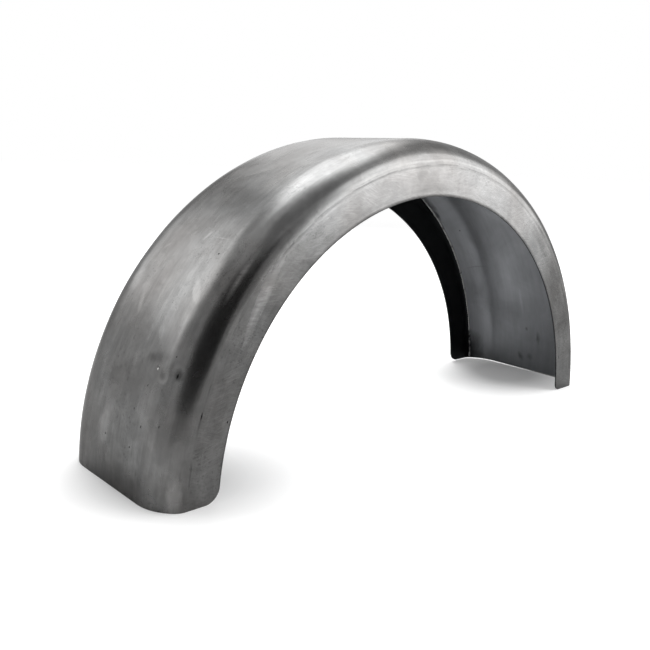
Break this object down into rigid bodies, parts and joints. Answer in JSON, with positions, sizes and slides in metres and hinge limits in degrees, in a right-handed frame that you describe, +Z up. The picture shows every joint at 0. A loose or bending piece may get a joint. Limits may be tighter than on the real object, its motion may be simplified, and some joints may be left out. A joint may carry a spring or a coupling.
{
  "type": "motorcycle rear fender",
  "caption": "Bare steel motorcycle rear fender: a half-circle arch with a flat crown, rounded shoulders and plain side walls, cut flat at both ends, that covers a wheel's tyre.",
  "frame": {"origin": "on the floor plane, under the middle of the arch; the wheel's axle is 12.5 mm below it", "axes": "+X along the bike, taken as towards its front; +Y across the bike, along the wheel's axle; +Z up through the crown"},
  "size_m": [0.6796, 0.185, 0.3275],
  "materials": {
    "raw_steel": "bare sheet steel, satin, with ground weld seams and sanding marks"
  },
  "bodies": {
    "root": {"fender": "raw_steel"}
  },
  "joints": []
}
